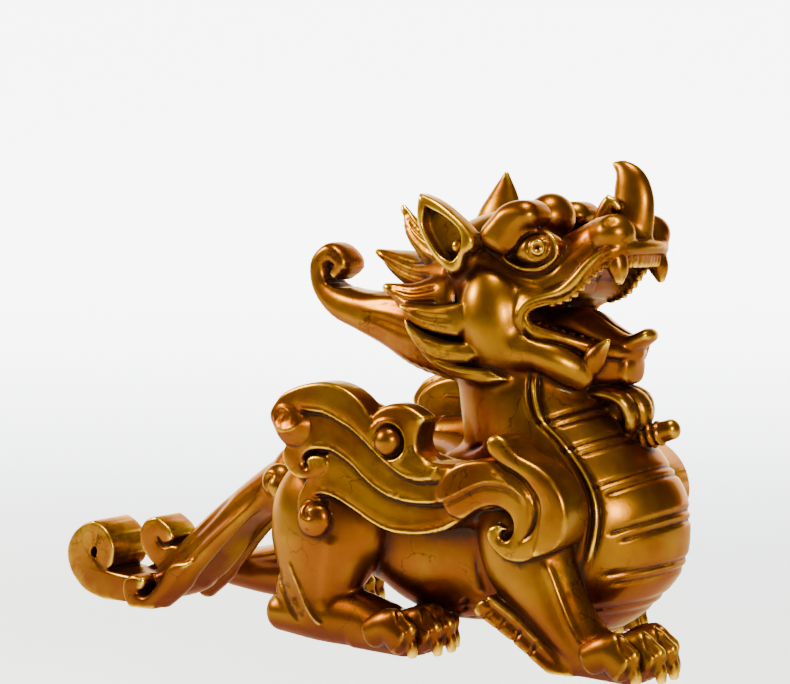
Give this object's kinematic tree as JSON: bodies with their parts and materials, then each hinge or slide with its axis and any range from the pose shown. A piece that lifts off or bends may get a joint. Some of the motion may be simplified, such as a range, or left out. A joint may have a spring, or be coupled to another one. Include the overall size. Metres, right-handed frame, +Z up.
{
  "type": "pixiu sculpture",
  "caption": "Prowling winged lion-dragon cast whole, head raised and mouth wide open, with banded wings, a scrolled mane and a ridged tail that ends in curls.",
  "frame": {"origin": "centre of the bounding box's bottom face, on the surface that the paws rest on", "axes": "+X the way the animal faces, +Y its left side, +Z up"},
  "size_m": [0.361, 0.1344, 0.2209],
  "materials": {
    "antique_brass": "satin lacquered antique gold, brown in the recesses"
  },
  "bodies": {
    "root": {"pixiu": "antique_brass"}
  },
  "joints": []
}
